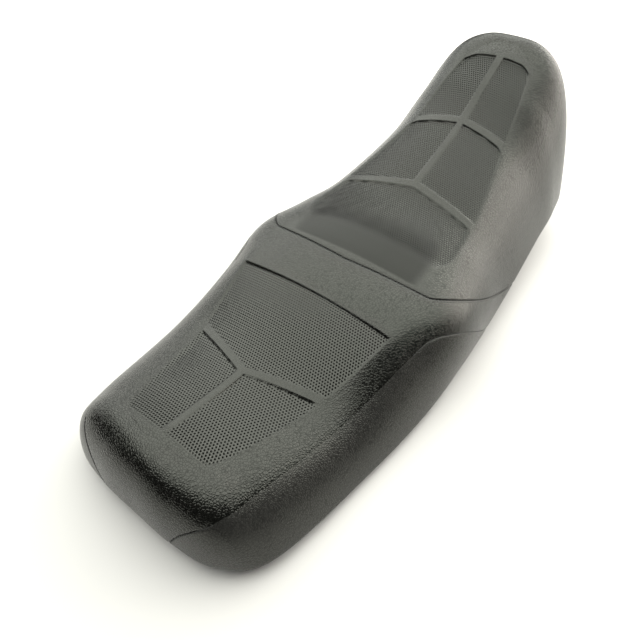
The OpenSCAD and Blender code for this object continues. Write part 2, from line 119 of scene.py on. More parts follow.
def mix_colour(tree, factor, first, second):
    """The first colour where factor is 0, the second where it is 1."""
    made = add_node(tree, "ShaderNodeMix", data_type="RGBA")
    for index, value in ((0, factor), (6, first), (7, second)):
        give(tree, made.inputs[index], value)
    return made.outputs[2]


def ramp_value(tree, value, low, high, to_low=0.0, to_high=1.0):
    """A smooth step from to_low to to_high while value goes from low to high."""
    made = add_node(tree, "ShaderNodeMapRange", interpolation_type="SMOOTHSTEP")
    feed(tree, made, Value=value, From_Min=low, From_Max=high, To_Min=to_low, To_Max=to_high)
    return made.outputs["Result"]


def noise(tree, place, scale, detail=2.0):
    made = add_node(tree, "ShaderNodeTexNoise")
    feed(tree, made, Vector=place, Scale=scale, Detail=detail)
    return made


def bump(tree, height, strength, distance):
    made = add_node(tree, "ShaderNodeBump")
    feed(tree, made, Height=height, Strength=strength, Distance=distance)
    return made.outputs["Normal"]


def open_group(name, inputs, outputs):
    """A shader node group with number inputs (name, default) and number outputs."""
    tree = bpy.data.node_groups.new(name, "ShaderNodeTree")
    for label, default in inputs:
        socket = tree.interface.new_socket(label, in_out="INPUT", socket_type="NodeSocketFloat")
        socket.default_value = default
    for label in outputs:
        tree.interface.new_socket(label, in_out="OUTPUT", socket_type="NodeSocketFloat")
    return tree, add_node(tree, "NodeGroupInput"), add_node(tree, "NodeGroupOutput")


def place_group(tree, group, **values):
    """A group placed in a material, with its inputs set by name."""
    made = add_node(tree, "ShaderNodeGroup", node_tree=group)
    feed(tree, made, **values)
    return made


def new_material(name):
    """An empty material with its own Principled shader."""
    made = bpy.data.materials.new(name)
    made.use_nodes = True
    return made, made.node_tree, made.node_tree.nodes["Principled BSDF"]


def shade(colour, factor):
    """The same colour, darker or lighter."""
    return [c * factor for c in colour]


# %% [markdown]
# ## Shared effects
# Four effects appear in more than one finish. Grain is a net of fine creases round small pads, which
# a cell pattern's distance to its own borders gives. Dimples are a staggered grid of round pits,
# counted along and across the cover. Dust is a slow cloud that lightens and dulls. Speckle is the
# fine unevenness of a moulded, painted or plated surface.

# %% Grain group
PAD_ROUNDNESS = 0.3
WARPS_PER_METRE, WARP_REACH = 320.0, 0.0009
CREASE_NEAR, CREASE_FAR = 0.02, 0.14


def build_grain_group():
    tree, given, result = open_group(
        "vinyl_grain", [("Cells per metre", 600.0), ("Pad roundness", PAD_ROUNDNESS)], ["Height", "Crease"])
    place = add_node(tree, "ShaderNodeTexCoord").outputs["Object"]
    warp = noise(tree, place, WARPS_PER_METRE, 1.0)
    shift = add_node(tree, "ShaderNodeVectorMath", operation="SCALE")
    shift.inputs["Scale"].default_value = WARP_REACH
    give(tree, shift.inputs[0], warp.outputs["Color"])
    bent = add_node(tree, "ShaderNodeVectorMath", operation="ADD")
    give(tree, bent.inputs[0], place)
    give(tree, bent.inputs[1], shift.outputs[0])
    cells = add_node(tree, "ShaderNodeTexVoronoi", feature="DISTANCE_TO_EDGE")
    feed(tree, cells, Vector=bent.outputs[0], Scale=given.outputs["Cells per metre"])
    border = cells.outputs["Distance"]
    rise = math_node(tree, "DIVIDE", border, given.outputs["Pad roundness"])
    feed(tree, result, Height=ramp_value(tree, rise, 0.0, 1.0),
         Crease=ramp_value(tree, border, CREASE_NEAR, CREASE_FAR, 1.0, 0.0))
    return tree


grain_group = build_grain_group()
print("grain group with", len(grain_group.nodes), "nodes")

# %% Dimple group
DIMPLE_PITCH = 2.75 * MM
DIMPLE_RADIUS = 0.31
PIT_EDGE = 0.09


def build_dimple_group():
    tree, given, result = open_group(
        "pressed_dimples", [("Along", 0.0), ("Across", 0.0), ("Radius", DIMPLE_RADIUS)], ["Pit"])
    row = math_node(tree, "DIVIDE", given.outputs["Along"], DIMPLE_PITCH)
    odd = math_node(tree, "FLOORED_MODULO", math_node(tree, "FLOOR", row), 2.0)
    column = math_node(tree, "DIVIDE", given.outputs["Across"], DIMPLE_PITCH)
    column = math_node(tree, "ADD", column, times(tree, odd, 0.5))
    off_row = math_node(tree, "SUBTRACT", math_node(tree, "FRACT", row), 0.5)
    off_column = math_node(tree, "SUBTRACT", math_node(tree, "FLOORED_MODULO", column, 1.0), 0.5)
    reach = math_node(tree, "SQRT", math_node(
        tree, "ADD", times(tree, off_row, off_row), times(tree, off_column, off_column)))
    depth = math_node(tree, "SUBTRACT", given.outputs["Radius"], reach)
    feed(tree, result, Pit=ramp_value(tree, depth, -PIT_EDGE, PIT_EDGE))
    return tree


dimple_group = build_dimple_group()
print("dimple group with", len(dimple_group.nodes), "nodes")

# %% Dust and speckle groups
DUST_CLOUD, BLOTCH_CLOUD = (0.42, 0.75), (0.35, 0.7)
BLOTCHES_PER_GRAIN = 0.04
SPECKLE_RANGE = (0.3, 0.7)


def build_dust_group():
    tree, given, result = open_group(
        "handling_dust", [("Amount", 0.3), ("Patches per metre", 14.0)], ["Dust"])
    place = add_node(tree, "ShaderNodeTexCoord").outputs["Object"]
    cloud = noise(tree, place, given.outputs["Patches per metre"], 4.0)
    spread = ramp_value(tree, cloud.outputs["Fac"], *DUST_CLOUD)
    feed(tree, result, Dust=times(tree, spread, given.outputs["Amount"]))
    return tree


def build_speckle_group():
    tree, given, result = open_group("fine_speckle", [("Grains per metre", 1500.0)], ["Speckle", "Blotch"])
    place = add_node(tree, "ShaderNodeTexCoord").outputs["Object"]
    grains = given.outputs["Grains per metre"]
    fine = noise(tree, place, grains, 3.0)
    wide = noise(tree, place, times(tree, grains, BLOTCHES_PER_GRAIN), 3.0)
    feed(tree, result, Speckle=fine.outputs["Fac"],
         Blotch=ramp_value(tree, wide.outputs["Fac"], *BLOTCH_CLOUD))
    return tree


def uneven(tree, speckle, low, high):
    """A value between low and high that follows the speckle, such as an uneven roughness."""
    return ramp_value(tree, speckle.outputs["Speckle"], *SPECKLE_RANGE, low, high)


dust_group = build_dust_group()
speckle_group = build_speckle_group()
print("effects", [g.name for g in (grain_group, dimple_group, dust_group, speckle_group)])

# %% [markdown]
# ## Vinyl
# The cover is black vinyl with a satin skin. Its grain shows as small highlights, and painted shade
# darkens and dulls its creases. The fields and their ribs are smoother, and the fields have pits,
# also darkened and dulled with painted shade. The mesh says with named attributes where a point
# lies: how far along and across, in a field, on a smooth part. The side panels have the finest
# grain, and the bare strip behind the cross seam is dull and plain.

# %% Vinyl materials
VINYL_TOP = (0.0042, 0.0044, 0.0038)
VINYL_SIDE = (0.02, 0.0197, 0.0185)
VINYL_DUST = (0.05, 0.048, 0.043)
VINYL_SHEEN = (0.98, 1.0, 0.91)
VINYL_PATCHES, DUST_DULLS = 9.0, 0.25
# How smooth the mesh says the fields and the bare strip are, and the gloss that goes with each
FIELD_SMOOTH, STRIP_SMOOTH = 0.5, 0.92
SKIN_GLOSS, STRIP_GLOSS = 0.5, 0.24
# How far painted shade darkens and dulls a crease and a pit, and the share of the colour at the darkest
CREASE_PAINTED_SHADE, PIT_PAINTED_SHADE, PAINTED_SHADE_TONE = 0.4, 0.95, 0.15


def attribute(tree, name):
    """A value that the mesh gives for each of its points."""
    return add_node(tree, "ShaderNodeAttribute", attribute_name=name).outputs["Fac"]


def build_vinyl(name, colour, dust_amount, roughness, cells, relief, field_gloss=None):
    """Vinyl skin; relief is the height of its grain in metres. Only a panel with fields has a
    field_gloss."""
    patterned = field_gloss is not None
    made, tree, skin = new_material(name)
    grain = place_group(tree, grain_group, Cells_per_metre=cells, Pad_roundness=PAD_ROUNDNESS)
    dusty = place_group(tree, dust_group, Amount=dust_amount, Patches_per_metre=VINYL_PATCHES)
    dust = dusty.outputs["Dust"]
    pads, crease = grain.outputs["Height"], grain.outputs["Crease"]
    gloss = SKIN_GLOSS
    if patterned:
        smooth = attribute(tree, "smooth")
        gloss = ramp_value(tree, smooth, FIELD_SMOOTH, STRIP_SMOOTH, SKIN_GLOSS, STRIP_GLOSS)
        grained = math_node(tree, "SUBTRACT", 1.0, smooth)
        pads = times(tree, pads, grained)
        crease = times(tree, crease, grained)
    tone = mix_colour(tree, dust, colour, VINYL_DUST)
    shine = math_node(tree, "ADD", times(tree, dust, DUST_DULLS), roughness)
    # Painted shade: the grain's creases, and below them the fields' pits, are darkened and lose gloss
    painted_shade = times(tree, crease, CREASE_PAINTED_SHADE)
    if patterned:
        field = attribute(tree, "field")
        pits = place_group(
            tree, dimple_group, Along=attribute(tree, "along"), Across=attribute(tree, "across"))
        pit = times(tree, pits.outputs["Pit"], field)
        gloss = times(tree, gloss, ramp_value(tree, field, 0, 1, 1, field_gloss))
        painted_shade = math_node(tree, "MAXIMUM", painted_shade, times(tree, pit, PIT_PAINTED_SHADE))
    # The painted shade of the creases and pits darkens the colour here and dulls the gloss below
    tone = mix_colour(tree, painted_shade, tone, shade(colour, PAINTED_SHADE_TONE))
    gloss = times(tree, math_node(tree, "SUBTRACT", 1.0, painted_shade), gloss)
    feed(tree, skin, Base_Color=tone, Roughness=shine, Specular_IOR_Level=gloss,
         Specular_Tint=VINYL_SHEEN, Normal=bump(tree, pads, 1.0, relief))
    return made


vinyl_rider = build_vinyl("vinyl_rider", VINYL_TOP, 0.06, 0.2, 440.0, 0.00013, 1.2)
vinyl_pillion = build_vinyl("vinyl_pillion", VINYL_TOP, 0.1, 0.24, 400.0, 0.00015, 1.0)
vinyl_side = build_vinyl("vinyl_side", VINYL_SIDE, 0.12, 0.27, 480.0, 0.0001)
print("vinyl materials", vinyl_rider.name, vinyl_pillion.name, vinyl_side.name)

# %% [markdown]
# ## The cover's guide rows
# The cushion has no simple profile, so its outside is drawn as the CAD source draws it: rows of
# points run from the tank end (place 0) round the side to the tail (place 13), one set for the
# bottom edge, one for the crown and one for the corner that the side is rounded towards.

# %% Guide rows
EDGE_ROWS = np.array([
    [333, 0], [332, 45], [323, 85], [289, 116], [182, 132], [95, 140], [22, 140],
    [-38, 138], [-104, 134], [-188, 127], [-248, 122], [-301, 108], [-326, 60], [-333, 0]], float)
SHOULDER_ROWS = np.array([
    [332, 0, 0], [330, 39, -1], [316, 94, -3], [282, 101, -2], [180, 118, -7], [95, 133, -24],
    [32, 148, -7], [-31, 137, -19], [-90, 114, -22], [-183, 92, -17], [-246, 89, -8], [-296, 82, 30],
    [-319, 58, 32], [-326, 0, 30]], float)
FRONT_HEIGHT, DISH_HEIGHT, STEP_HEIGHT, TAIL_HEIGHT = 84.0, 74.0, 103.0, 221.0


def climb(part):
    """Height of the pillion part, from the step (0) to the tail (1)."""
    return STEP_HEIGHT + (TAIL_HEIGHT - STEP_HEIGHT) * part


CROWN_ROWS = np.array([
    [296, 0, FRONT_HEIGHT, 0], [294, 25, FRONT_HEIGHT, 2], [284, 46, FRONT_HEIGHT, 6],
    [252, 58, (FRONT_HEIGHT + DISH_HEIGHT) / 2, 8], [177, 74, DISH_HEIGHT, 10],
    [95, 90, STEP_HEIGHT - 7, 8], [36, 92, STEP_HEIGHT, 6],
    [-28, 88, climb(0.06), 9], [-84, 81, climb(0.145), 11],
    [-181, 59, climb(0.46), 10], [-233, 48, climb(0.73), 4], [-263, 38, climb(0.9), 4],
    [-280, 20, climb(0.98), 0.5], [-284, 0, TAIL_HEIGHT, 0]], float)
LAST = 13
LOWER_PULL, UPPER_PULL = 0.62, 0.72
HEM_WIDTH = 18.0
TINY, SLIVER = 0.02, 1e-3
# The bottom edge is lowest where it bends and rises to both ends, by so much over such a length
EDGE_BEND, EDGE_LOW = 150.0, 8.0
EDGE_FRONT_LENGTH, EDGE_FRONT_RISE = 183.0, 9.0
EDGE_REAR_LENGTH, EDGE_REAR_RISE = 483.0, 43.0


def spline(rows, t):
    """Smooth curve through the rows, carried on past both ends as its own mirror image."""
    flip = np.ones(rows.shape[1])
    flip[1] = -1
    carried = np.vstack([rows[2] * flip, rows[1] * flip, rows, rows[-2] * flip, rows[-3] * flip])
    t = np.asarray(t, float)
    i = np.clip(np.floor(t).astype(int), -1, LAST)
    u = (t - i)[..., None]
    a, b, c, d = (carried[i + k] for k in (1, 2, 3, 4))
    square = 2 * a - 5 * b + 4 * c - d
    cube = 3 * b - a - 3 * c + d
    return (2 * b + (c - a) * u + square * u ** 2 + cube * u ** 3) / 2


def edge_height(x):
    """Height of the bottom edge above the floor."""
    front = np.maximum(0, (x - EDGE_BEND) / EDGE_FRONT_LENGTH)
    rear = np.clip((EDGE_BEND - x) / EDGE_REAR_LENGTH, 0, 1)
    return EDGE_LOW + EDGE_FRONT_RISE * front ** 2 + EDGE_REAR_RISE * rear ** 2 * (3 - 2 * rear)


def inset_point(t, inset, lift):
    """A point of the bottom edge, moved inwards and up."""
    way = spline(EDGE_ROWS, t + TINY) - spline(EDGE_ROWS, t - TINY)
    way /= np.linalg.norm(way, axis=-1, keepdims=True)
    plan = spline(EDGE_ROWS, t) + np.asarray(inset)[..., None] * np.stack([-way[..., 1], way[..., 0]], -1)
    return np.stack([plan[..., 0], plan[..., 1], edge_height(plan[..., 0]) + lift], -1)


def cover_at(t, q):
    """Outer face: q is 0 on the centre line, 1 at the crown's edge, 2 at the bottom edge and 3 at
    the hem's end."""
    t, q = np.broadcast_arrays(np.asarray(t, float), np.asarray(q, float))
    a = np.abs(q)
    x, half, height, drop = np.moveaxis(spline(CROWN_ROWS, t), -1, 0)
    v = np.minimum(a, 1)
    lid = np.stack([x, half * v, height - drop * v ** 2], -1)
    bottom = inset_point(t, np.zeros_like(t), 0)
    rim = np.stack([x, half, height - drop], -1)
    corner = spline(SHOULDER_ROWS, t)
    corner[..., 2] += height - drop
    s = np.clip(2 - a, 0, 1)[..., None]
    w = 1 - s
    lower = bottom + LOWER_PULL * (corner - bottom)
    upper = rim + UPPER_PULL * (corner - rim)
    side = bottom * w ** 3 + 3 * lower * s * w ** 2 + 3 * upper * s ** 2 * w + rim * s ** 3
    hem = inset_point(t, np.maximum(a - 2, 0) * HEM_WIDTH, 0)
    point = np.where((a <= 1)[..., None], lid, np.where((a <= 2)[..., None], side, hem))
    point[..., 1] = np.where(q < 0, -point[..., 1], point[..., 1])
    return point


def outward(t, q):
    """Direction that the outer face looks in."""
    along = cover_at(t + TINY, q) - cover_at(t - TINY, q)
    across = cover_at(t, q - TINY) - cover_at(t, q + TINY)
    n = np.cross(along, across)
    size = np.linalg.norm(n, axis=-1, keepdims=True)
    return np.where(size < SLIVER, [0.0, 0.0, 1.0], n / np.maximum(size, SLIVER))


def smoothed_cover(t, q):
    """The outer face, with its creases at the crown's edge and bottom edge rounded a little."""
    weights = ((-0.06, 1), (-0.03, 2), (0, 2), (0.03, 2), (0.06, 1))
    total = sum(w for _, w in weights)
    return sum(w * cover_at(t, np.clip(q + d, -3, 3)) for d, w in weights) / total


print("guide rows", len(EDGE_ROWS), "in each set")

# %% [markdown]
# ## Seam lines and fields
# A row of the cover runs straight over the lid and sweeps back down the side, most of all at the
# cross seam behind the rider. The side panel's upper seam rises from the front corner and comes
# back to the bottom edge below the step. Fields are bounded by rows, so they bend as chevrons do.

# %% Seam lines
SEAM_CENTRE, SEAM_EDGE, SEAM_SWEEP = 5.9, 6.0, 2.1
SWEEP_START, SWEEP_BEND = 1.02, 1.3
SWEEP_FROM, SWEEP_TO = 4.0, 10.0
PANEL_START, PANEL_END, PANEL_CURL = 0.9, 5.61, 7
PANEL_FULL, PANEL_PARTS = (2.38, 4.75), (0.61, 0.735)
GUIDE_STEPS = 1300


def sweep(e):
    """How far back a row has moved at the bottom edge; most at the cross seam."""
    before = np.maximum(0, (e - SWEEP_FROM) / (SEAM_EDGE - SWEEP_FROM)) ** 2
    after = np.maximum(0, (SWEEP_TO - e) / (SWEEP_TO - SEAM_EDGE)) ** 1.5
    return SEAM_SWEEP * np.where(e <= SEAM_EDGE, before, after)


def row_place(centre, edge, q):
    """Place along the seat of a row, given on the centre line and at the crown's edge."""
    a = np.abs(q)
    down = np.clip((a - SWEEP_START) / (2 - SWEEP_START), 0, 1) ** SWEEP_BEND
    return np.where(a <= 1, edge + (centre - edge) * (1 - a), edge + sweep(edge) * down)


def panel_top(e):
    """Height of the side panel's seam, as a part of the side; 0 where there is no panel."""
    rise = np.sin(np.pi / 2 * np.clip((e - PANEL_START) / (PANEL_FULL[0] - PANEL_START), 0, 1))
    fall = 1 - np.clip((e - PANEL_FULL[1]) / (PANEL_END - PANEL_FULL[1]), 0, 1) ** PANEL_CURL
    part = np.interp(e, PANEL_FULL, PANEL_PARTS) * np.minimum(rise, fall)
    return np.where((e <= PANEL_START) | (e >= PANEL_END), 0, part)


GUIDE = np.linspace(0, LAST, GUIDE_STEPS + 1)
CENTRE_LINE = cover_at(GUIDE, np.zeros_like(GUIDE))
RUN = np.concatenate([[0], np.cumsum(np.linalg.norm(np.diff(CENTRE_LINE, axis=0), axis=1))])


def along_at(t):
    """Distance along the centre line, in millimetres."""
    return np.interp(t, GUIDE, RUN)


print("centre line", round(RUN[-1]), "mm")

# %% Fields
# Front row and rear row of each field (centre, edge), whether the centre rib splits it, and in
# millimetres how wide its side wall slopes, how far its front edge fades, and how round its front
# and rear corners are
FIELD_KEYS = ("front", "rear", "split", "slope", "fade", "front_round", "rear_round")
FIELDS = [dict(zip(FIELD_KEYS, values)) for values in (
    ((1.66, 1.66), (3.72, 3.98), True, 7.0, 8.0, 1.5, 1.5),
    ((3.8, 4.08), (5.0, 5.0), False, 1.5, 2.5, 1.5, 2.0),
    ((6.5, 6.5), (8.03, 7.83), False, 7.0, 16.0, 40.0, 8.0),
    ((8.12, 7.95), (9.04, 8.95), True, 1.5, 2.5, 1.5, 8.0),
    ((9.13, 9.05), (11.05, 11.0), True, 1.5, 2.5, 1.5, 11.0))]
FIELD_DEPTH, FRONT_SHARE, FIELD_WALL = 1.9, 0.2, 1.0
RIB_PLACES, RIB_HALVES = [1.7, 3.72, 8.14, 11.0], [1.5, 3.7, 3.3, 4.4]
DIMPLE_DEPTH, PIT_SLOPE = 0.65, 0.16
# Dimples begin and are full so many wall widths inside a field's border
DOTS_BEGIN, DOTS_FULL = 0.7, 1.7
# Rows and columns between which the ribs and the bare strip have less grain
RIB_EDGE, RIB_ROWS = 0.97, ((2.2, 5), (7, 11))
STRIP_FRONT, STRIP_REAR, STRIP_SIDE = (5.95, 6.1), (6.5, 8.2), (0.7, 1.1)


def rounded_meet(first, second, radius):
    """Distance inside two borders whose corner is rounded."""
    near = np.minimum(first, second)
    corner = radius - np.hypot(radius - np.minimum(first, radius), radius - np.minimum(second, radius))
    return np.where((first < radius) & (second < radius), corner, near)


def smooth_step(value, low, high):
    """0 below low, 1 above high and a soft curve between them."""
    part = np.clip((value - low) / (high - low), 0, 1)
    return part * part * (3 - 2 * part)


def field_shape(t, q):
    """How deep each point is pressed, in millimetres, and how strong its dimples are (0 to 1)."""
    a = np.abs(q)
    half = np.maximum(spline(CROWN_ROWS, t)[..., 1], SLIVER)
    to_side = (1 - a) * half
    to_rib = a * half - np.interp(t, RIB_PLACES, RIB_HALVES)
    pressed = np.zeros_like(t)
    dimpled = np.zeros_like(t)
    for field in FIELDS:
        to_front = along_at(t) - along_at(row_place(*field["front"], q))
        to_rear = along_at(row_place(*field["rear"], q)) - along_at(t)
        inside = np.minimum(
            rounded_meet(to_side, to_rear, field["rear_round"]),
            rounded_meet(to_side, to_front + field["fade"] / 2, field["front_round"]))
        if field["split"]:
            inside = np.minimum(inside, to_rib)
        faded = smooth_step(to_front, 0, field["fade"])
        share = to_front / np.maximum(to_front + to_rear, 1)
        depth = FIELD_DEPTH * (FRONT_SHARE + (1 - FRONT_SHARE) * smooth_step(share, 0, 1))
        walls = smooth_step(inside, 0, FIELD_WALL) * smooth_step(to_side, 0, field["slope"])
        pressed = np.maximum(pressed, depth * walls * faded)
        dots = smooth_step(inside, FIELD_WALL * DOTS_BEGIN, FIELD_WALL * DOTS_FULL)
        dimpled = np.maximum(dimpled, dots * faded)
    return np.where(a < 1, pressed, 0), np.where(a < 1, dimpled, 0)


def dimple_pit(along, across):
    """The material's staggered pits with softer edges, as a depth from 0 to 1."""
    row = along * MM / DIMPLE_PITCH
    column = across * MM / DIMPLE_PITCH + 0.5 * (np.floor(row) % 2)
    reach = np.hypot(row % 1 - 0.5, column % 1 - 0.5)
    return smooth_step(DIMPLE_RADIUS - reach, -PIT_SLOPE, PIT_SLOPE)


def smooth_skin(t, q, pressed):
    """Where the vinyl has less grain: in the fields, on their ribs and on the bare strip behind the
    cross seam."""
    a = np.abs(q)
    fields = FIELD_SMOOTH * np.clip(pressed / (FIELD_DEPTH * FRONT_SHARE), 0, 1)
    on_rows = np.any([(t > first) & (t < last) for first, last in RIB_ROWS], axis=0)
    ribs = np.where((a < RIB_EDGE) & on_rows, FIELD_SMOOTH, 0)
    strip = smooth_step(t, *STRIP_FRONT) * (1 - smooth_step(t, *STRIP_REAR))
    strip *= 1 - smooth_step(a, *STRIP_SIDE)
    return np.maximum(np.maximum(fields, ribs), STRIP_SMOOTH * strip)


print("fields", len(FIELDS), "depth", FIELD_DEPTH, "mm")

# %% [markdown]
# ## Panels as grids
# Each panel is a grid: rows along the seat, columns over it from one hem to the other. The grid is
# fine in the fields, where the dimples need it, and coarser elsewhere. A panel is a closed skin of
# real thickness, so a second, coarser grid lies inside it and walls join the two at the sewn edges.

# %% Grids and meshes
MID_SIDE = 1.5
SHARP_ANGLE = np.radians(75)


def spread_rows(keys, spacing):
    """Rows between key rows (centre, edge), spaced by so many millimetres on each stretch."""
    rows = [np.array(keys[0], float)]
    for first, second, step in zip(keys[:-1], keys[1:], spacing):
        first, second = np.array(first, float), np.array(second, float)
        ends = cover_at(np.array([first[1], second[1]]), np.full(2, MID_SIDE))
        length = max(abs(along_at(second[0]) - along_at(first[0])), np.linalg.norm(ends[1] - ends[0]))
        count = max(2, int(round(length / step)))
        rows += [first + (second - first) * k / count for k in range(1, count + 1)]
    return np.array(rows)


def run_lengths(points, axis):
    """Distance from the first point along a grid's axis."""
    step = np.linalg.norm(np.diff(points, axis=axis), axis=-1)
    start = np.zeros_like(np.take(step, [0], axis=axis))
    return np.concatenate([start, np.cumsum(step, axis=axis)], axis=axis)


def grid_faces(rows, columns):
    """Four-sided faces of a grid, as indices of its points."""
    a = (np.arange(rows - 1)[:, None] * columns + np.arange(columns - 1)[None, :]).ravel()
    return np.stack([a, a + 1, a + columns + 1, a + columns], 1)


def zip_strip(fine, coarse, picks):
    """Triangles between a fine line of points and a coarse one; picks are the fine points that face
    the coarse ones."""
    faces = []
    for k in range(len(picks) - 1):
        middle = (picks[k] + picks[k + 1]) // 2
        faces += [(fine[i], fine[i + 1], coarse[k]) for i in range(picks[k], middle)]
        faces += [(fine[i], fine[i + 1], coarse[k + 1]) for i in range(middle, picks[k + 1])]
        faces.append((fine[middle], coarse[k + 1], coarse[k]))
    return faces


def even_picks(shape, step):
    """Every few rows and every few columns of a grid, with the first and last among them."""
    spread = (np.linspace(0, count - 1, max(2, count // step + 1)) for count in shape)
    return [np.unique(np.round(places).astype(int)) for places in spread]


def joined_mesh(name, points, faces, digits):
    """A mesh in metres whose points are joined where they fall together; also these points, the
    first given one of each, and what each given one became."""
    keys, first, back = np.unique(
        np.round(points, digits), axis=0, return_index=True, return_inverse=True)
    back = back.ravel()
    joined = [tuple(dict.fromkeys(back[list(f)].tolist())) for f in faces]
    mesh = bpy.data.meshes.new(name)
    mesh.from_pydata((keys * MM).tolist(), [], [f for f in joined if len(f) > 2])
    return mesh, keys, first, back


def make_mesh(name, points, faces, **attributes):
    """A piece with a smooth mesh whose faces turn outwards, and named values of its points."""
    mesh, _, first, _ = joined_mesh(name, points, faces, 4)
    for label, values in attributes.items():
        layer = mesh.attributes.new(label, "FLOAT", "POINT")
        layer.data.foreach_set("value", np.ascontiguousarray(values[first], np.float32))
    work = bmesh.new()
    work.from_mesh(mesh)
    bmesh.ops.recalc_face_normals(work, faces=work.faces)
    open_edges = sum(1 for e in work.edges if not e.is_manifold)
    work.to_mesh(mesh)
    work.free()
    mesh.shade_smooth()
    mesh.set_sharp_from_angle(angle=SHARP_ANGLE)
    mesh.update()
    print(name, "faces", len(mesh.polygons), "open edges", open_edges)
    return add_object(name, mesh)


def closed_skin(name, outer, inner, row_picks, column_picks, sewn_ends, **attributes):
    """A closed piece between an outer grid and a coarser inner one. At an end that isn't sewn, its
    halves meet."""
    rows, columns = outer.shape[:2]
    fine = np.arange(rows * columns).reshape(rows, columns)
    coarse = fine.size + np.arange(inner.size // 3).reshape(inner.shape[:2])
    faces = grid_faces(rows, columns).tolist()
    faces += (grid_faces(*coarse.shape)[:, ::-1] + fine.size).tolist()
    for side in (0, -1):
        faces += zip_strip(fine[:, side], coarse[:, side], row_picks)
    for end in sewn_ends:
        faces += zip_strip(fine[end], coarse[end], column_picks)
    points = np.concatenate([outer.reshape(-1, 3), inner.reshape(-1, 3)])
    spare = np.zeros(coarse.size)
    values = {label: np.concatenate([v.ravel(), spare]) for label, v in attributes.items()}
    return make_mesh(name, points, faces, **values)


# %% [markdown]
# ## The swell of the foam
# Vinyl over foam is never quite flat between its seams: the foam blows each panel out a little and
# the sewn edges hold it down. Blender's cloth does that: a coarse copy of the panel is pinned at its
# seams and blown up by pressure, without gravity. How far each point moved, capped at a millimetre
# and a half, is then spread over the fine grid, which would be too heavy to simulate.

# %% Cloth swell
SWELL_CAP, SWELL_PRESSURE, SWELL_FRAMES = 1.5, 1.2, 20
SWELL_STEP, SEWN_REACH, SEWN_NEAR = 9, 10.0, 1e-6
CLOTH = dict(
    vertex_group_mass="sewn", quality=6, mass=0.3, tension_stiffness=20, compression_stiffness=20,
    bending_stiffness=2, use_pressure=True, uniform_pressure_force=SWELL_PRESSURE)


def cloth_moves(points, pinned):
    """Movement of each grid point, in millimetres, when the pinned skin is blown up."""
    mesh, keys, _, back = joined_mesh("swell", points.reshape(-1, 3), grid_faces(*points.shape[:2]), 3)
    skin = add_object("swell", mesh)
    skin.vertex_groups.new(name="sewn").add(np.unique(back[pinned.ravel()]).tolist(), 1.0, "REPLACE")
    cloth = skin.modifiers.new("cloth", "CLOTH")
    for name, value in CLOTH.items():
        setattr(cloth.settings, name, value)
    cloth.settings.effector_weights.gravity = 0
    cloth.collision_settings.use_collision = False
    cloth.point_cache.frame_end = SWELL_FRAMES
    for number in range(1, SWELL_FRAMES + 1):
        scene.frame_set(number)
    blown = skin.evaluated_get(bpy.context.evaluated_depsgraph_get()).to_mesh()
    place = np.zeros(len(keys) * 3)
    blown.vertices.foreach_get("co", place)
    bpy.data.objects.remove(skin)
    bpy.data.meshes.remove(mesh)
    scene.frame_set(1)
    return (place.reshape(-1, 3) / MM - keys)[back].reshape(points.shape)


def blur(values, width, axis):
    """A soft average along one axis of a grid."""
    window = np.hanning(2 * width + 3)
    pad = [(0, 0)] * values.ndim
    pad[axis] = (width + 1, width + 1)
    padded = np.pad(values, pad, mode="edge")
    return np.apply_along_axis(np.convolve, axis, padded, window / window.sum(), mode="valid")


def swell(points, normal, to_seam):
    """Capped swell of a fine grid, from the cloth simulation of every few rows and columns of it."""
    rows, columns = points.shape[:2]
    row_picks, column_picks = even_picks((rows, columns), SWELL_STEP)
    pick = np.ix_(row_picks, column_picks)
    moved = np.sum(cloth_moves(points[pick], to_seam[pick] < SEWN_NEAR) * normal[pick], -1)
    print("cloth moved from", round(moved.min(), 2), "to", round(moved.max(), 2), "mm")
    capped = SWELL_CAP * np.tanh(np.maximum(moved, 0) / SWELL_CAP)
    wide = np.stack([np.interp(np.arange(columns), column_picks, line) for line in capped])
    fine = np.stack([np.interp(np.arange(rows), row_picks, line) for line in wide.T]).T
    return blur(blur(fine, SWELL_STEP, 0), SWELL_STEP, 1) * smooth_step(to_seam, 0, SEWN_REACH)


# %% [markdown]
# ## The top panels
# From the outside in, a point of a top panel is moved by the swell, the pressed field, the dimples
# and the roll into the nearest seam. The panel is lined with thin foam on top and bare at the hem.

# %% Top panels
SKIN, LINING, LINING_END = 1.2, 2.4, 1.6
SEAM_DEPTH, SIDE_SEAM_DEPTH, SEAM_ROLL = 0.9, 0.5, 1.0
# The share of its depth that the side seam loses, and the rows where it fades and comes back
FLUSH_SHARE, FLUSH_FROM, FLUSH_TO = 0.85, (1.5, 2.1), (4.8, 5.2)
INNER_STEP, HEM_COLUMNS = 6, 6


def cover_thickness(q):
    """Vinyl and lining on top, thinning to the vinyl alone where the lining ends."""
    return SKIN + LINING * np.clip((LINING_END - np.abs(q)) / (LINING_END - 1), 0, 1)


def seam_dip(distance, depth):
    """How far the skin is drawn in, a distance away from a seam."""
    return depth * np.exp(-(distance / SEAM_ROLL) ** 2)


def seam_strength(e):
    """The side panel's seam is drawn in at its two ends and nearly flush between them."""
    flush = FLUSH_SHARE * smooth_step(e, *FLUSH_FROM) * (1 - smooth_step(e, *FLUSH_TO))
    return SIDE_SEAM_DEPTH * (1 - flush)


def panel_columns(lid_count, side_count, low):
    """Columns of rows whose lower end is low. Where a side panel is sewn on, the hem columns fall
    together."""
    lid = np.linspace(0, 1, lid_count + 1)[1:]
    side = np.linspace(0, 1, side_count + 1)[1:]
    hem = np.linspace(0, 1, HEM_COLUMNS + 1)[1:]
    half = np.concatenate([
        np.broadcast_to(lid, (len(low), lid_count)),
        1 + (low[:, None] - 1) * side,
        np.where(low[:, None] < 2, low[:, None], 2 + hem)], 1)
    return np.concatenate([-half[:, ::-1], np.zeros((len(low), 1)), half], 1)


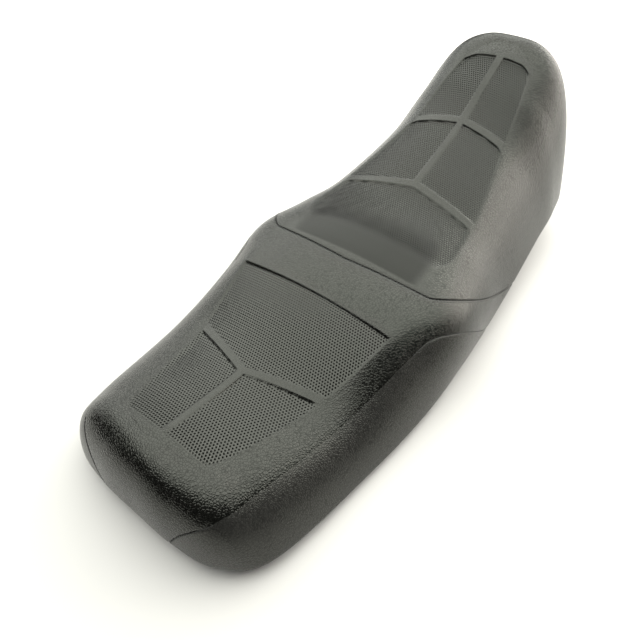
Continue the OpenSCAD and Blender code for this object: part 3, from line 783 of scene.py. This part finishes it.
def top_panel(name, keys, spacing, counts, seam_first):
    """A top panel, and its outer face: points, directions and columns."""
    rows = spread_rows(keys, spacing)
    low = 2 - panel_top(rows[:, 1])
    q = panel_columns(*counts, low)
    t = row_place(rows[:, :1], rows[:, 1:], q)
    base, normal = smoothed_cover(t, q), outward(t, q)
    pressed, dimpled = field_shape(t, q)
    along, across = along_at(t), base[..., 1]
    depth = pressed + DIMPLE_DEPTH * dimpled * dimple_pit(along, across)
    to_cross = run_lengths(base, 0) if seam_first else run_lengths(base[::-1], 0)[::-1]
    depth += seam_dip(to_cross, SEAM_DEPTH)
    reach = run_lengths(base, 1)
    left_end, right_end = reach[:, [HEM_COLUMNS]], reach[:, [-1 - HEM_COLUMNS]]
    to_side = np.maximum(0, np.minimum(reach - left_end, right_end - reach))
    depth += np.where((low < 2)[:, None], seam_dip(to_side, seam_strength(rows[:, 1:])), 0)
    blown = swell(base, normal, np.minimum(to_cross, to_side))
    outer = base - (depth - (blown + blown[:, ::-1]) / 2)[..., None] * normal
    # At the panel's tip the lid has no width, so its points are joined there
    tip = -1 if seam_first else 0
    lid = np.abs(q[tip]) <= 1
    outer[tip, lid] = outer[tip, lid].mean(0)
    row_picks, column_picks = even_picks(q.shape, INNER_STEP)
    inner = (base - cover_thickness(q)[..., None] * normal)[np.ix_(row_picks, column_picks)]
    made = closed_skin(
        name, outer, inner, row_picks, column_picks, [0 if seam_first else -1], along=along * MM,
        across=across * MM, field=dimpled, smooth=smooth_skin(t, q, pressed))
    return made, outer, normal, q


CROSS_SEAM = (SEAM_CENTRE, SEAM_EDGE)
RIDER_KEYS = [
    (0, 0), (1.6, 1.6), FIELDS[0]["rear"], FIELDS[1]["front"], FIELDS[1]["rear"], CROSS_SEAM]
RIDER_SPACING = [2.0, 1.0, 1.1, 1.0, 1.5]
PILLION_KEYS = [
    CROSS_SEAM, (6.4, 6.4), FIELDS[2]["rear"], FIELDS[3]["front"], FIELDS[3]["rear"],
    FIELDS[4]["front"], FIELDS[4]["rear"], (LAST, LAST)]
PILLION_SPACING = [1.6, 1.0, 1.1, 1.0, 1.1, 1.0, 2.2]
# Columns on each half of the lid and on each side
RIDER_COUNTS, PILLION_COUNTS = (80, 26), (68, 36)
rider_cover, rider_grid, rider_normal, rider_q = top_panel(
    "seat_rider_cover", RIDER_KEYS, RIDER_SPACING, RIDER_COUNTS, False)
pillion_cover = top_panel(
    "seat_pillion_cover", PILLION_KEYS, PILLION_SPACING, PILLION_COUNTS, True)[0]

# %% [markdown]
# ## The side panels
# Each side of the rider's part has a plain panel sewn on below the shoulder. It runs down to the
# bottom edge and round the rim, with a finer grain than the top.

# %% Side panels
PANEL_KEYS = [(e, e) for e in (PANEL_START, *PANEL_FULL, PANEL_END)]
PANEL_SPACING = [1.8, 2.2, 1.4]
PANEL_COLUMNS = 30


def side_panel(name, sign):
    """A side panel, and its outer face: points and directions."""
    edge = spread_rows(PANEL_KEYS, PANEL_SPACING)[:, 1:]
    high = 2 - panel_top(edge)
    hem = 2 + np.linspace(0, 1, HEM_COLUMNS + 1)[1:]
    q = np.concatenate([
        high + (2 - high) * np.linspace(0, 1, PANEL_COLUMNS + 1),
        np.broadcast_to(hem, (len(edge), HEM_COLUMNS))], 1)
    t = row_place(edge, edge, q)
    base, normal = smoothed_cover(t, q), outward(t, q)
    reach = run_lengths(base, 1)
    to_seam = np.maximum(0, np.minimum(reach, reach[:, [PANEL_COLUMNS]] - reach))
    depth = seam_dip(reach, seam_strength(edge)) - swell(base, normal, to_seam)
    outer = base - depth[..., None] * normal
    inner = base - cover_thickness(q)[..., None] * normal
    side = np.array([1, sign, 1])
    made = closed_skin(name, outer * side, inner * side, *map(np.arange, q.shape), [0, -1])
    return made, outer * side, normal * side


side_left, left_grid, left_normal = side_panel("seat_side_cover_left", 1)
side_right, right_grid, right_normal = side_panel("seat_side_cover_right", -1)

# %% Cover pieces take their places
for piece, node, slot, skin in (
        (rider_cover, "rider_cover", "vinyl_top", vinyl_rider),
        (pillion_cover, "pillion_cover", "vinyl_top", vinyl_pillion),
        (side_left, "side_cover_left", "vinyl_side", vinyl_side),
        (side_right, "side_cover_right", "vinyl_side", vinyl_side)):
    piece.data.materials.append(skin)
    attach(piece, "root")
    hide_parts(node)
    print(piece.name, "wears", skin.name)

# %% [markdown]
# ## Stitches
# The panels are sewn with black thread. Its short stitches lie in the cross seam as a dotted line, and a
# second row runs beside it on both flanks, where the seam is turned and sewn down again. The side
# panels' seams show their stitches only at the two ends and hide them between. Each stitch is a small
# capsule, set along a line that is measured off the panel's own grid.

# %% Stitches
STITCH_PITCH, STITCH_LENGTH, STITCH_RADIUS = 3.4, 2.5, 0.34
STITCH_RINGS = [(-1, 0.3), (-0.8, 0.75), (-0.45, 1), (0.45, 1), (0.8, 0.75), (1, 0.3)]
STITCH_SIDES, STITCH_RISE = 8, 0.25
# How far from their seam the rows lie, and where along it the flank and side rows show
CROSS_OFF, FLANK_OFF, SIDE_OFF = 0.55, 3.3, 0.6
FLANK_FROM = 1.06
SIDE_FRONT_END, SIDE_REAR_START = 2.0, 4.95
THREAD_COLOUR = (0.016, 0.016, 0.016)


def point_at(distance, reach, line):
    """The point, or direction, at a distance along a line."""
    return np.array([np.interp(distance, reach, line[:, c]) for c in range(3)])


def line_beside(points, distance):
    """The line of points that lies a distance away from a grid's first row."""
    reach = run_lengths(points, 0)
    return np.stack([point_at(distance, reach[:, k], points[:, k]) for k in range(points.shape[1])])


def stitch_points(start, end, up):
    """Points and faces of one stitch between two points of its line."""
    way = (end - start) / np.linalg.norm(end - start)
    across = np.cross(way, up)
    across /= np.linalg.norm(across)
    lift = np.cross(across, way)
    angles = np.linspace(0, 2 * np.pi, STITCH_SIDES, endpoint=False)
    rings = [
        (start + end) / 2 + way * place * STITCH_LENGTH / 2
        + STITCH_RADIUS * size * (np.cos(angles)[:, None] * across + np.sin(angles)[:, None] * lift)
        for place, size in STITCH_RINGS]
    here = np.arange(len(rings) * STITCH_SIDES).reshape(-1, STITCH_SIDES)
    after = np.roll(here, -1, axis=1)
    faces = np.stack([here[:-1], after[:-1], after[1:], here[1:]], -1).reshape(-1, 4).tolist()
    return np.concatenate(rings), faces + here[[0, -1]].tolist()


def stitch_row(lines):
    """Stitches along each of several lines, given as (points, normals)."""
    points, faces = [], []
    for line, normals in lines:
        reach = run_lengths(line, 0)
        for start in np.arange(STITCH_PITCH, reach[-1] - STITCH_PITCH, STITCH_PITCH):
            ends = [point_at(d, reach, line) for d in (start, start + STITCH_LENGTH)]
            up = point_at(start, reach, normals)
            made, sides = stitch_points(*ends, up)
            offset = sum(len(p) for p in points)
            points.append(made + up * STITCH_RADIUS * STITCH_RISE)
            faces += [tuple(offset + i for i in f) for f in sides]
    return np.concatenate(points), faces


def thread_piece(name, lines):
    """One piece with the stitches of some lines."""
    points, faces = stitch_row(lines)
    made = make_mesh(name, points, faces)
    made.data.materials.append(thread)
    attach(made, "root")


def build_thread(name, colour):
    """Twisted thread: lighter and darker fibres, unevenly dull."""
    made, tree, skin = new_material(name)
    speckle = place_group(tree, speckle_group, Grains_per_metre=2600.0)
    tone = mix_colour(tree, speckle.outputs["Speckle"], shade(colour, 0.6), shade(colour, 1.5))
    feed(tree, skin, Base_Color=tone, Roughness=uneven(tree, speckle, 0.45, 0.65))
    return made


thread = build_thread("black_thread", THREAD_COLOUR)
from_seam = rider_grid[::-1]
seam_q, seam_normal = rider_q[-1], rider_normal[-1]
seam_line = line_beside(from_seam, CROSS_OFF)
flank_line = line_beside(from_seam, FLANK_OFF)
above_hem = np.abs(seam_q) < 2
cross_lines = [(seam_line[above_hem], seam_normal[above_hem])]
for flank in (seam_q > FLANK_FROM, seam_q < -FLANK_FROM):
    keep = flank & above_hem
    cross_lines.append((flank_line[keep], seam_normal[keep]))
thread_piece("seat_cross_seam_stitches", cross_lines)
panel_edge = spread_rows(PANEL_KEYS, PANEL_SPACING)[:, 1]
for name, grid, normals in (
        ("seat_side_seam_stitches_left", left_grid, left_normal),
        ("seat_side_seam_stitches_right", right_grid, right_normal)):
    line = line_beside(grid.transpose(1, 0, 2), SIDE_OFF)
    ends = (panel_edge < SIDE_FRONT_END, panel_edge > SIDE_REAR_START)
    thread_piece(name, [(line[end], normals[end, 0]) for end in ends])

# %% [markdown]
# ## Foam
# The foam block fills the cover down to the base's flange and plate. One sees it only through the
# drain holes, but it is a piece of its own: a closed form that follows the cover from inside.

# %% Foam
FOAM_PLAY, FOAM_LOW, FOAM_FOOT = 0.8, 1.92, 4.8
FLANGE_TOP, PLATE_TOP, WALL_INSET = 4.2, 21.0, 26.0
FOAM_SPACING = 7.0
FOAM_LID_COUNT, FOAM_SIDE_COUNT = 12, 14
FOAM_COLOUR = (0.60, 0.52, 0.30)


def foam_block():
    """The foam's closed form: the cover's inside above, the flange and the plate below."""
    rows = spread_rows([(0, 0), CROSS_SEAM, (LAST, LAST)], [FOAM_SPACING, FOAM_SPACING])
    half = np.concatenate([
        np.linspace(0, 1, FOAM_LID_COUNT + 1)[1:], np.linspace(1, FOAM_LOW, FOAM_SIDE_COUNT + 1)[1:]])
    q = np.broadcast_to(np.concatenate([-half[::-1], [0], half]), (len(rows), 2 * len(half) + 1))
    t = row_place(rows[:, :1], rows[:, 1:], q)
    top = smoothed_cover(t, q) - (cover_thickness(q) + FOAM_PLAY)[..., None] * outward(t, q)
    foot = row_place(rows[:, :1], rows[:, 1:], np.full((len(rows), 1), 2.0))
    columns = q.shape[1]
    step = np.minimum(np.arange(columns), np.arange(columns)[::-1])
    inset = np.where(step == 0, FOAM_FOOT, WALL_INSET - FOAM_PLAY)
    level = np.where(step <= 1, FLANGE_TOP, PLATE_TOP) + FOAM_PLAY
    under = inset_point(*(np.broadcast_to(v, q.shape) for v in (foot, inset, level)))
    under[..., 1] *= np.sign(q)
    return closed_skin("seat_foam", top, under, *map(np.arange, q.shape), [])


def build_foam(name, colour):
    """Cut foam: open cells show as small pores, darkened with painted shade."""
    made, tree, skin = new_material(name)
    pores = place_group(tree, grain_group, Cells_per_metre=900.0, Pad_roundness=0.4)
    speckle = place_group(tree, speckle_group, Grains_per_metre=700.0)
    tone = mix_colour(tree, speckle.outputs["Blotch"], colour, shade(colour, 0.8))
    # Painted shade darkens the pores, where the cells' creases are
    tone = mix_colour(tree, pores.outputs["Crease"], tone, shade(colour, 0.55))
    feed(tree, skin, Base_Color=tone, Roughness=uneven(tree, speckle, 0.85, 0.98),
         Normal=bump(tree, pores.outputs["Height"], 0.8, 0.0004))
    return made


foam = foam_block()
foam.data.materials.append(build_foam("cushion_foam", FOAM_COLOUR))
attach(foam, "root")
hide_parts("foam_cushion")

# %% [markdown]
# ## Base and fixings
# The base, the steel plates, the fasteners and the rubber feet keep their CAD shapes and get finishes
# that one can tell apart: stippled plastic, chipped paint, dull zinc, brass and matt rubber.

# %% Plain finishes
DUST = (0.16, 0.15, 0.13)
GLOSS_SPREAD, PLAIN_DUST_DULLS = 0.07, 0.3
CHIP_NEAR, CHIP_FAR = 0.66, 0.69


def build_plain(name, colour, roughness, grains, relief, dust_amount, metal=0.0, spread=0.25):
    """A moulded, plated or rubber finish: speckled bump, uneven gloss and a little dust."""
    made, tree, skin = new_material(name)
    speckle = place_group(tree, speckle_group, Grains_per_metre=grains)
    dust = place_group(tree, dust_group, Amount=dust_amount, Patches_per_metre=22.0).outputs["Dust"]
    tone = mix_colour(tree, speckle.outputs["Blotch"], colour, shade(colour, 1 - spread))
    dull = uneven(tree, speckle, roughness - GLOSS_SPREAD, roughness + GLOSS_SPREAD)
    dull = math_node(tree, "ADD", dull, times(tree, dust, PLAIN_DUST_DULLS))
    feed(tree, skin, Base_Color=mix_colour(tree, dust, tone, DUST), Roughness=dull, Metallic=metal,
         Normal=bump(tree, speckle.outputs["Speckle"], 0.6, relief))
    return made


def build_painted_steel(name, paint, steel):
    """Black paint with a slight orange peel, chipped to bare steel in small spots."""
    made, tree, skin = new_material(name)
    peel = place_group(tree, speckle_group, Grains_per_metre=600.0)
    chips = place_group(tree, speckle_group, Grains_per_metre=230.0)
    dust = place_group(tree, dust_group, Amount=0.35, Patches_per_metre=30.0).outputs["Dust"]
    chipped = ramp_value(tree, chips.outputs["Speckle"], CHIP_NEAR, CHIP_FAR)
    bare = times(tree, chipped, peel.outputs["Blotch"])
    tone = mix_colour(tree, bare, mix_colour(tree, dust, paint, DUST), steel)
    feed(tree, skin, Base_Color=tone, Metallic=bare, Roughness=uneven(tree, peel, 0.34, 0.46),
         Normal=bump(tree, peel.outputs["Speckle"], 0.5, 0.00012))
    return made


base_plastic = build_plain("base_plastic", (0.020, 0.020, 0.021), 0.52, 1500.0, 0.00018, 0.3)
zinc_plate = build_plain("zinc_plate", (0.60, 0.60, 0.57), 0.36, 1800.0, 0.00003, 0.12, 1.0, 0.2)
brass = build_plain("insert_brass", (0.60, 0.44, 0.19), 0.34, 2000.0, 0.00003, 0.1, 1.0, 0.3)
rubber = build_plain("foot_rubber", (0.022, 0.022, 0.023), 0.78, 1100.0, 0.00012, 0.5)
painted_steel = build_painted_steel("painted_steel", (0.022, 0.023, 0.024), (0.50, 0.49, 0.47))
print("finishes", [m.name for m in (base_plastic, zinc_plate, brass, rubber, painted_steel)])

# %% Finishes on the CAD nodes
FINISHES = {
    base_plastic: ["seat_base"],
    painted_steel: ["front_tongue", "rear_bracket_left", "rear_bracket_right"],
    zinc_plate: ["cover_staples", "tongue_bolts", "tongue_washers", "bracket_bolts", "bracket_washers"],
    brass: ["tongue_inserts", "bracket_inserts"],
    rubber: [name for name in nodes if name.startswith("bumper_")]}
for finish, names in FINISHES.items():
    for name in names:
        nodes[name].data.materials.clear()
        nodes[name].data.materials.append(finish)
    print(finish.name, "on", len(names), "nodes")

# %% [markdown]
# ## Floor and light
# The seat lies on a white sweep. A wide lamp hangs overhead, open to the right and the tail, and a
# lower one continues it down on the right. Two warmer ones stand beyond the tail and on its left, so
# that the pillion's side is lit while the tank end and the shoulder beside the rider stay dark.

# %% Floor
FLOOR_HALF = 6
FLOOR_COLOUR, FLOOR_ROUGHNESS, FLOOR_GLOW = (0.58, 0.57, 0.555), 0.9, 0.02

floor_mesh = bpy.data.meshes.new("floor")
corners = [(x * FLOOR_HALF, y * FLOOR_HALF, 0) for x, y in ((-1, -1), (1, -1), (1, 1), (-1, 1))]
floor_mesh.from_pydata(corners, [], [(0, 1, 2, 3)])
floor = add_object("floor", floor_mesh)
floor_material, floor_tree, floor_skin = new_material("white_sweep")
rays = add_node(floor_tree, "ShaderNodeLightPath")
seen = math_node(floor_tree, "MAXIMUM", rays.outputs["Is Camera Ray"], rays.outputs["Is Glossy Ray"])
seen = math_node(floor_tree, "MAXIMUM", seen, rays.outputs["Is Transmission Ray"])
glow = times(floor_tree, seen, FLOOR_GLOW)
feed(floor_tree, floor_skin, Base_Color=FLOOR_COLOUR, Roughness=FLOOR_ROUGHNESS,
     Emission_Color=(1, 1, 1), Emission_Strength=glow)
floor_mesh.materials.append(floor_material)
print("floor", 2 * FLOOR_HALF, "m wide")

# %% World and lamps
WORLD_COLOUR = (0.02, 0.02, 0.02, 1)
COOL, WARM = (0.985, 1, 0.95), (1, 0.95, 0.89)
CEILING_TURN = np.radians(-40)

world = bpy.data.worlds.new("studio")
scene.world = world
world.use_nodes = True
world.node_tree.nodes["Background"].inputs["Color"].default_value = WORLD_COLOUR


def add_lamp(name, place, aim, size, watts, colour):
    """A flat lamp that looks from its place to its aim."""
    data = bpy.data.lights.new(name, "AREA")
    data.shape = "RECTANGLE"
    data.size, data.size_y = size
    data.energy = watts
    data.color = colour
    made = add_object(name, data)
    made.location = place
    made.rotation_euler = (Vector(aim) - Vector(place)).to_track_quat("-Z", "Y").to_euler()
    return made


ceiling = add_lamp("ceiling", (-0.98, -0.73, 1.7), (-0.98, -0.73, 0), (4.6, 4.0), 209, COOL)
ceiling.rotation_euler.z += CEILING_TURN
add_lamp("tail_left", (-1.8, 0.71, 0.75), (-0.2, 0, 0.12), (1.95, 1.4), 36, WARM)
add_lamp("left_low", (-1.1, 1.15, 0.6), (-1.1, 0, 0.55), (1.3, 1.0), 8, WARM)
add_lamp("right_low", (-0.9, -2.2, 0.65), (-0.9, 0, 0.55), (3.0, 1.1), 16, COOL)
print("lamps", len(bpy.data.lights))
